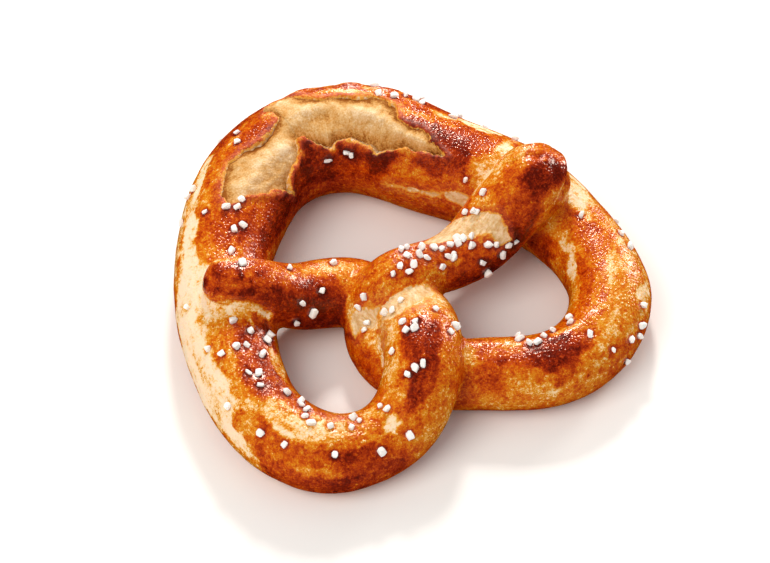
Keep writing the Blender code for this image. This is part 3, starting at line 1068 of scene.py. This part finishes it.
def crumb_relief(settings, points, along, angle, arc):
    """Height of the crumb over the rope's surface, its level from painted shade in low folds to painted
    light on high tops, and its strings.

    Height is the sum of the lumps, each falling as a bell from its middle, of strings, which are
    noise stretched along the direction of tearing, and of pillows, which are the size of a noise
    that changes sign and so leaves a sharp crease where it is nothing, less a trough behind the
    inner lip. Outside the burst the top dives under the crust. The strings are coordinates along
    and across the tearing.
    """
    burst, at_lip, to_lip = burst_depths(points, along, angle, arc)
    trough = at_lip * np.exp(-(to_lip / TROUGH_REACH) ** 2)
    trough *= 0.2 + 0.8 * smooth((along - TROUGH_START) / TROUGH_GROWTH)
    height = -settings.depth * trough - 0.25 * MM
    for x, turn, length, breadth, rise in CRUMB_LUMPS:
        q = ((along / MM - x) / length) ** 2 + ((angle - turn) / breadth) ** 2
        height += rise * MM * np.exp(-1.4 * q)
    across = (angle - 90) * arc
    slant = np.where(along < SLANT_END, np.radians(45), np.radians(9))
    run = along * np.sin(slant) - across * np.cos(slant)
    beside = along * np.cos(slant) + across * np.sin(slant)
    bent = 1.5 * MM * noise(points, 7 * MM, 45)
    strings = np.stack([run / 5, beside + bent, height * 0.5], axis=1)
    stringy = layered_noise(strings, 1.3 * MM, 41, 2)
    taut = smooth(0.3 + 1.3 * noise(points, 9 * MM, 44))
    height += settings.strings * taut * stringy
    pillow = np.minimum(2 * np.abs(layered_noise(points, 9 * MM, 46, 4)), 1)
    height += settings.folds * (pillow - 0.7)
    to_edge = gap_to(OUTER_EDGE, along, angle, arc)
    # the level rises with height and falls in the creases between pillows, which paints the crumb's
    # tops lighter and its folds and the trough behind the lip darker: painted light and shade
    level = 0.55 + 0.14 * (height / MM) + 0.13 * stringy - 0.1 * smooth(1 - pillow / 0.12)
    level -= 0.45 * smooth(1 - (to_edge + raggedness(points)) / (3.5 * MM))
    return height - DIG * smooth(-burst / (1.4 * MM)), level, strings


def tear_crumb(settings):
    """The crumb in the burst: a closed slab whose top is a height field over the rope's surface.

    Each place on a grid of along and angle is moved out from the rope's middle by its height for
    the top, and in by one depth for the hidden bed.
    """
    rope = Rope()
    places = np.arange(CRUMB_START, CRUMB_END, CRUMB_STEP)
    turns = np.arange(CRUMB_LOW, CRUMB_HIGH, CRUMB_STEP / degree_length(rope, places).mean())
    base = rope.skin(places, np.radians(turns))
    middle, _, _, _ = rope.frame(places)
    out = base - middle[:, None]
    out /= np.linalg.norm(out, axis=2)[:, :, None]
    along = np.repeat(places, len(turns))
    angle = np.tile(turns, len(places))
    arc = degree_length(rope, along)
    relief = crumb_relief(settings, base.reshape(-1, 3), along, angle, arc)
    height, level, strings = (part.reshape(len(places), len(turns), -1) for part in relief)
    top = base + out * height
    bed = (base - out * CRUMB_BED)[:, ::-1]
    ends = (top[0] + bed[0, ::-1]).mean(axis=0) / 2, (top[-1] + bed[-1, ::-1]).mean(axis=0) / 2
    mesh = closed_tube("burst_crumb", np.concatenate([top, bed], axis=1), ends)
    mesh.shade_smooth()
    # the bed and the ends are hidden, and get zeros
    rings = [np.concatenate([part, np.zeros_like(part)], axis=1) for part in (level, strings)]
    store(
        mesh,
        level=np.append(rings[0], (0, 0)),
        strings=np.vstack([rings[1].reshape(-1, 3), np.zeros((2, 3))]),
    )
    return new_piece("burst_crumb", mesh, torn_crumb())


def salt_grain(rng):
    """One lump as rings of points: a rounded block with flats broken off it.

    The block is a superellipsoid, where each part of a unit vector keeps its sign and is raised to
    a power below 1; beyond each flat, points are pushed back on to its plane.
    """
    rise = np.radians(GRAIN_RISES)[:, None]
    turn = np.arange(GRAIN_SIDES) * 2 * np.pi / GRAIN_SIDES + rng.uniform(0, 1)
    flat = np.cos(rise) * np.stack([np.cos(turn), np.sin(turn)])[:, None]
    unit = np.stack([*flat, np.sin(rise) * np.ones(GRAIN_SIDES)], axis=2)
    unit = np.concatenate([unit.reshape(-1, 3), [(0, 0, -1), (0, 0, 1)]])
    block = np.sign(unit) * np.abs(unit) ** 0.6
    block += rng.normal(0, 0.05, block.shape)
    for _ in range(5):
        facing = rng.normal(size=3)
        facing /= np.linalg.norm(facing)
        beyond = np.maximum(block @ facing - rng.uniform(0.62, 0.85), 0)
        block -= beyond[:, None] * facing
    return block * rng.uniform((0.8, 0.6, 0.5), (1.1, 0.85, 0.75))


def press_salt(skin, spots):
    """The damp crust sinks round each of these spots and is darkened there, as browning and as painted
    contact shade, less and less with distance.
    """
    points, normals = vertices_of(skin.data), normals_of(skin.data)
    nearest = np.full(len(points), np.inf)
    for spot in spots:
        nearest = np.minimum(nearest, np.linalg.norm(points - spot, axis=1))
    ring = smooth((SALT_REACH - nearest) / SALT_FADE)
    bake = stored(skin.data, "bake") + SALT_BROWNING_AND_SHADE * ring
    skin.data.attributes["bake"].data.foreach_set("value", bake)
    set_vertices(skin.data, points - SALT_DENT * ring[:, None] * normals)


def scatter_salt(settings, skin):
    """Coarse salt where it fell: each grain sits on a vertex of the crust, sunk by a third.

    A grain takes the vertex nearest to a random place in its cluster, unless another grain lies
    there already, and it is turned at random, with its flat side roughly down. The crust is then
    dented under them all.
    """
    rng = np.random.default_rng(7)
    points, normals = vertices_of(skin.data), normals_of(skin.data)
    along, angle, lead = (stored(skin.data, name) for name in ("along", "angle", "lead"))
    arc = degree_length(Rope(), along)
    # a place in a crease counts as a metre away
    in_crease = lead < BARE_CREASE
    lumps, spots = [], []
    for row in SALT_CLUSTERS:
        middle, turn, length, breadth, count = row + SALT_DEFAULTS[len(row) :]
        for _ in range(count):
            for _ in range(SALT_TRIES):
                x = (middle + length * rng.uniform(-1, 1)) * MM
                y = turn + breadth * rng.uniform(-1, 1)
                at = (np.hypot(along - x, (angle - y) * arc) + in_crease).argmin()
                if all(np.linalg.norm(points[at] - spot) > 0.8 * settings.grain for spot in spots):
                    break
            spots.append(points[at])
            up = normals[at] + 0.3 * rng.normal(size=3)
            up /= np.linalg.norm(up)
            side = np.cross(up, rng.normal(size=3))
            side /= np.linalg.norm(side)
            half = settings.grain / 2 * rng.uniform(0.8, 1.15)
            lump = salt_grain(rng) * half @ np.stack([side, np.cross(up, side), up])
            lumps.append(points[at] + normals[at] * half * 0.2 + lump)
    press_salt(skin, spots)
    quads, fans = tube_faces(len(GRAIN_RISES), GRAIN_SIDES)
    faces = []
    for first in range(0, len(lumps) * len(lumps[0]), len(lumps[0])):
        faces += (quads + first).tolist() + (fans + first).tolist()
    mesh = bpy.data.meshes.new("salt_grains")
    mesh.from_pydata(np.vstack(lumps).tolist(), [], faces)
    return new_piece("salt_grains", mesh, coarse_salt(settings.colour))


def set_stage(settings, scene):
    """A paper floor, soft boxes behind, beside and above, pale surroundings and the camera."""
    azimuth, elevation = np.radians(AZIMUTH), np.radians(ELEVATION)
    level = np.cos(elevation)
    back = Vector((np.sin(azimuth) * level, -np.cos(azimuth) * level, np.sin(elevation)))
    data = bpy.data.cameras.new("camera")
    data.sensor_width = SENSOR_WIDTH
    data.lens = DISTANCE / VIEW_WIDTH * SENSOR_WIDTH
    data.shift_x, data.shift_y = SHIFT
    camera = bpy.data.objects.new("camera", data)
    camera.location = Vector(CAMERA_TARGET) + back * DISTANCE
    camera.rotation_euler = (-back).to_track_quat("-Z", "Y").to_euler()
    scene.collection.objects.link(camera)
    scene.camera = camera

    half = FLOOR_SIDE / 2
    mesh = bpy.data.meshes.new("floor")
    mesh.from_pydata(
        [(-half, -half, 0), (half, -half, 0), (half, half, 0), (-half, half, 0)], [], [(0, 1, 2, 3)]
    )
    floor = new_piece("floor", mesh, white_paper(settings.floor))
    floor.visible_glossy = False

    world = bpy.data.worlds.new("studio")
    world.use_nodes = True
    background = world.node_tree.nodes["Background"]
    background.inputs["Color"].default_value = (1, 1, 1, 1)
    background.inputs["Strength"].default_value = WORLD_STRENGTH
    world.cycles_visibility.glossy = False
    scene.world = world
    for name, place, side, power, shines in LIGHTS:
        lamp = bpy.data.lights.new(name, "AREA")
        lamp.size = side
        lamp.energy = power * settings.light
        lamp.color = colour(LIGHT_COLOUR)[:3]
        light = bpy.data.objects.new(name, lamp)
        light.location = place
        light.visible_glossy = shines
        light.rotation_euler = (-Vector(place)).to_track_quat("-Z", "Y").to_euler()
        scene.collection.objects.link(light)
    # the colours are matched to plain sRGB, without a film curve
    scene.view_settings.view_transform = "Standard"


# ---------------------------------------------------------------------------------------------
# The add-on


class PRETZEL_OT_skin(bpy.types.Operator):
    """Bake the pretzel's skin: crust, folds, tears and the lip of the burst"""

    bl_idname = "pretzel.skin"
    bl_label = "Bake the Skin"

    def execute(self, context):
        skin = bake_skin(context.scene.pretzel_skin)
        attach(skin, "root")
        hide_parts("pretzel")
        return {"FINISHED"}


class PRETZEL_OT_crumb(bpy.types.Operator):
    """Fill the burst with torn crumb"""

    bl_idname = "pretzel.crumb"
    bl_label = "Tear the Crumb"

    def execute(self, context):
        crumb = tear_crumb(context.scene.pretzel_crumb)
        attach(crumb, "root")
        return {"FINISHED"}


class PRETZEL_OT_salt(bpy.types.Operator):
    """Scatter the coarse salt on the skin"""

    bl_idname = "pretzel.salt"
    bl_label = "Scatter the Salt"

    def execute(self, context):
        salt = scatter_salt(context.scene.pretzel_salt, bpy.data.objects["pretzel_skin"])
        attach(salt, "root")
        return {"FINISHED"}


class PRETZEL_OT_stage(bpy.types.Operator):
    """Set the paper floor, the soft boxes and the camera"""

    bl_idname = "pretzel.stage"
    bl_label = "Set the Stage"

    def execute(self, context):
        set_stage(context.scene.pretzel_stage, context.scene)
        return {"FINISHED"}


class PRETZEL_PT_panel(bpy.types.Panel):
    """Lists the pretzel's settings and pieces"""

    bl_label = "Pretzel"
    bl_space_type = "VIEW_3D"
    bl_region_type = "UI"
    bl_category = "Pretzel"

    def draw(self, context):
        for operator, group in STEPS:
            settings = getattr(context.scene, settings_name(operator))
            for name in group.__annotations__:
                self.layout.prop(settings, name)
            self.layout.operator(operator.bl_idname)


STEPS = (
    (PRETZEL_OT_skin, PRETZEL_PG_skin),
    (PRETZEL_OT_crumb, PRETZEL_PG_crumb),
    (PRETZEL_OT_salt, PRETZEL_PG_salt),
    (PRETZEL_OT_stage, PRETZEL_PG_stage),
)


def settings_name(operator):
    """The scene's property that holds the settings which an operator reads."""
    return operator.bl_idname.replace(".", "_")


def register():
    for operator, group in STEPS:
        bpy.utils.register_class(group)
        bpy.utils.register_class(operator)
        setattr(bpy.types.Scene, settings_name(operator), bpy.props.PointerProperty(type=group))
    bpy.utils.register_class(PRETZEL_PT_panel)


def unregister():
    bpy.utils.unregister_class(PRETZEL_PT_panel)
    for operator, group in reversed(STEPS):
        delattr(bpy.types.Scene, settings_name(operator))
        bpy.utils.unregister_class(operator)
        bpy.utils.unregister_class(group)


def main():
    register()
    bpy.ops.pretzel.skin()
    bpy.ops.pretzel.crumb()
    bpy.ops.pretzel.salt()
    bpy.ops.pretzel.stage()


if __name__ == "__main__":
    main()
